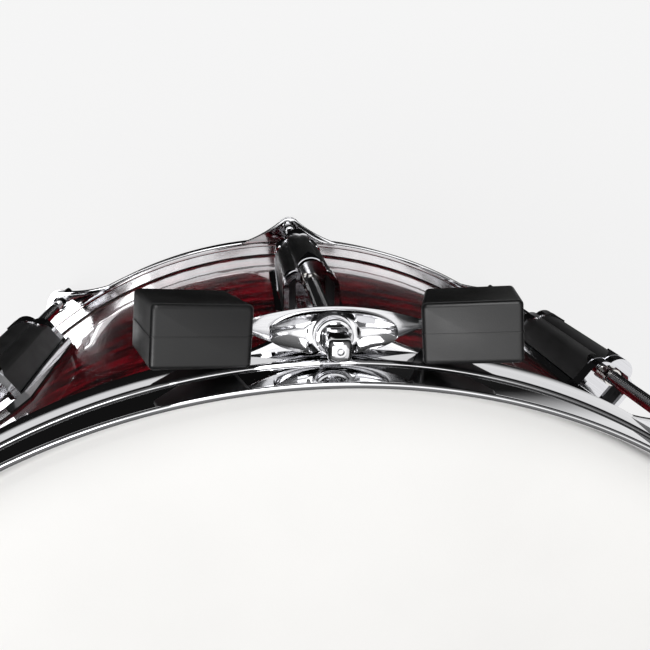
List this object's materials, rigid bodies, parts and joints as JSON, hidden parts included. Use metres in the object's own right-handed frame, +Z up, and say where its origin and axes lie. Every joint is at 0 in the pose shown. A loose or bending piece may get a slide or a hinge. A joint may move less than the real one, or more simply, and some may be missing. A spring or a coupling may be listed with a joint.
{
  "type": "tom tom drum",
  "caption": "Shallow wooden tom tom with chrome counterhoops, double-ended lugs with black fluted inserts, turning tension rods and a two-block rubber rest on one rod.",
  "frame": {"origin": "on the drum's axis, in the plane of the lower hoop's lip, where the drum stands", "axes": "+Z up along the drum axis towards the batter head, -Y towards the front, where the two rubber blocks are, +X to the right of someone facing the front from outside"},
  "size_m": [0.3784, 0.4022, 0.2134],
  "materials": {
    "shell": "deep red gloss lacquer over figured wood",
    "hoop_chrome": "polished chrome plate",
    "lug_chrome": "polished chrome plate",
    "rod_chrome": "polished chrome plate",
    "rest_chrome": "polished cast and plated",
    "strap_steel": "plated spring steel",
    "head_film": "white coated polyester film",
    "flesh_metal": "satin",
    "insert_black": "satin black",
    "gasket_black": "matt",
    "bush_black": "satin nylon",
    "washer_steel": "plated",
    "screw_steel": "zinc plated",
    "nut_metal": "nickel plated",
    "block_rubber": "matt black moulded"
  },
  "bodies": {
    "drum": {"shell": "shell", "vent_grommet": "hoop_chrome", "vent_washer": "washer_steel", "batter_head_film": "head_film", "resonant_head_film": "head_film", "batter_flesh_hoop": "flesh_metal", "resonant_flesh_hoop": "flesh_metal", "batter_hoop": "hoop_chrome", "resonant_hoop": "hoop_chrome", "lug_gaskets": "gasket_black", "lug_casings": "lug_chrome", "lug_inserts": "insert_black", "lug_screws": "screw_steel", "lug_screw_washers": "washer_steel", "batter_swivel_nuts": "nut_metal", "resonant_swivel_nuts": "nut_metal", "batter_rod_bushes": "bush_black", "batter_rod_washers": "washer_steel", "resonant_rod_bushes": "bush_black", "resonant_rod_washers": "washer_steel", "rest_strap": "strap_steel", "rest_saddle": "rest_chrome", "rest_block_left": "block_rubber", "rest_block_right": "block_rubber"},
    "batter_rod_01": {"batter_rod_01": "rod_chrome"},
    "batter_rod_02": {"batter_rod_02": "rod_chrome"},
    "batter_rod_03": {"batter_rod_03": "rod_chrome"},
    "batter_rod_04": {"batter_rod_04": "rod_chrome"},
    "batter_rod_05": {"batter_rod_05": "rod_chrome"},
    "batter_rod_06": {"batter_rod_06": "rod_chrome"},
    "batter_rod_07": {"batter_rod_07": "rod_chrome"},
    "batter_rod_08": {"batter_rod_08": "rod_chrome"},
    "batter_rod_09": {"batter_rod_09": "rod_chrome"},
    "batter_rod_10": {"batter_rod_10": "rod_chrome"},
    "resonant_rod_01": {"resonant_rod_01": "rod_chrome"},
    "resonant_rod_02": {"resonant_rod_02": "rod_chrome"},
    "resonant_rod_03": {"resonant_rod_03": "rod_chrome"},
    "resonant_rod_04": {"resonant_rod_04": "rod_chrome"},
    "resonant_rod_05": {"resonant_rod_05": "rod_chrome"},
    "resonant_rod_06": {"resonant_rod_06": "rod_chrome"},
    "resonant_rod_07": {"resonant_rod_07": "rod_chrome"},
    "resonant_rod_08": {"resonant_rod_08": "rod_chrome"},
    "resonant_rod_09": {"resonant_rod_09": "rod_chrome"},
    "resonant_rod_10": {"resonant_rod_10": "rod_chrome"}
  },
  "joints": [
    {"name": "batter_rod_turn_01", "type": "hinge", "parent": "drum", "child": "batter_rod_01", "pos_m": [0, -0.1907, 0.15], "axis": [0, 0, -1], "continuous": true},
    {"name": "batter_rod_turn_02", "type": "hinge", "parent": "drum", "child": "batter_rod_02", "pos_m": [0.11209, -0.15428, 0.15], "axis": [0, 0, -1], "continuous": true},
    {"name": "batter_rod_turn_03", "type": "hinge", "parent": "drum", "child": "batter_rod_03", "pos_m": [0.18137, -0.05893, 0.15], "axis": [0, 0, -1], "continuous": true},
    {"name": "batter_rod_turn_04", "type": "hinge", "parent": "drum", "child": "batter_rod_04", "pos_m": [0.18137, 0.05893, 0.15], "axis": [0, 0, -1], "continuous": true},
    {"name": "batter_rod_turn_05", "type": "hinge", "parent": "drum", "child": "batter_rod_05", "pos_m": [0.11209, 0.15428, 0.15], "axis": [0, 0, -1], "continuous": true},
    {"name": "batter_rod_turn_06", "type": "hinge", "parent": "drum", "child": "batter_rod_06", "pos_m": [0, 0.1907, 0.15], "axis": [0, 0, -1], "continuous": true},
    {"name": "batter_rod_turn_07", "type": "hinge", "parent": "drum", "child": "batter_rod_07", "pos_m": [-0.11209, 0.15428, 0.15], "axis": [0, 0, -1], "continuous": true},
    {"name": "batter_rod_turn_08", "type": "hinge", "parent": "drum", "child": "batter_rod_08", "pos_m": [-0.18137, 0.05893, 0.15], "axis": [0, 0, -1], "continuous": true},
    {"name": "batter_rod_turn_09", "type": "hinge", "parent": "drum", "child": "batter_rod_09", "pos_m": [-0.18137, -0.05893, 0.15], "axis": [0, 0, -1], "continuous": true},
    {"name": "batter_rod_turn_10", "type": "hinge", "parent": "drum", "child": "batter_rod_10", "pos_m": [-0.11209, -0.15428, 0.15], "axis": [0, 0, -1], "continuous": true},
    {"name": "resonant_rod_turn_01", "type": "hinge", "parent": "drum", "child": "resonant_rod_01", "pos_m": [0, -0.1907, 0.0605], "axis": [0, 0, 1], "continuous": true},
    {"name": "resonant_rod_turn_02", "type": "hinge", "parent": "drum", "child": "resonant_rod_02", "pos_m": [0.11209, -0.15428, 0.0605], "axis": [0, 0, 1], "continuous": true},
    {"name": "resonant_rod_turn_03", "type": "hinge", "parent": "drum", "child": "resonant_rod_03", "pos_m": [0.18137, -0.05893, 0.0605], "axis": [0, 0, 1], "continuous": true},
    {"name": "resonant_rod_turn_04", "type": "hinge", "parent": "drum", "child": "resonant_rod_04", "pos_m": [0.18137, 0.05893, 0.0605], "axis": [0, 0, 1], "continuous": true},
    {"name": "resonant_rod_turn_05", "type": "hinge", "parent": "drum", "child": "resonant_rod_05", "pos_m": [0.11209, 0.15428, 0.0605], "axis": [0, 0, 1], "continuous": true},
    {"name": "resonant_rod_turn_06", "type": "hinge", "parent": "drum", "child": "resonant_rod_06", "pos_m": [0, 0.1907, 0.0605], "axis": [0, 0, 1], "continuous": true},
    {"name": "resonant_rod_turn_07", "type": "hinge", "parent": "drum", "child": "resonant_rod_07", "pos_m": [-0.11209, 0.15428, 0.0605], "axis": [0, 0, 1], "continuous": true},
    {"name": "resonant_rod_turn_08", "type": "hinge", "parent": "drum", "child": "resonant_rod_08", "pos_m": [-0.18137, 0.05893, 0.0605], "axis": [0, 0, 1], "continuous": true},
    {"name": "resonant_rod_turn_09", "type": "hinge", "parent": "drum", "child": "resonant_rod_09", "pos_m": [-0.18137, -0.05893, 0.0605], "axis": [0, 0, 1], "continuous": true},
    {"name": "resonant_rod_turn_10", "type": "hinge", "parent": "drum", "child": "resonant_rod_10", "pos_m": [-0.11209, -0.15428, 0.0605], "axis": [0, 0, 1], "continuous": true}
  ]
}
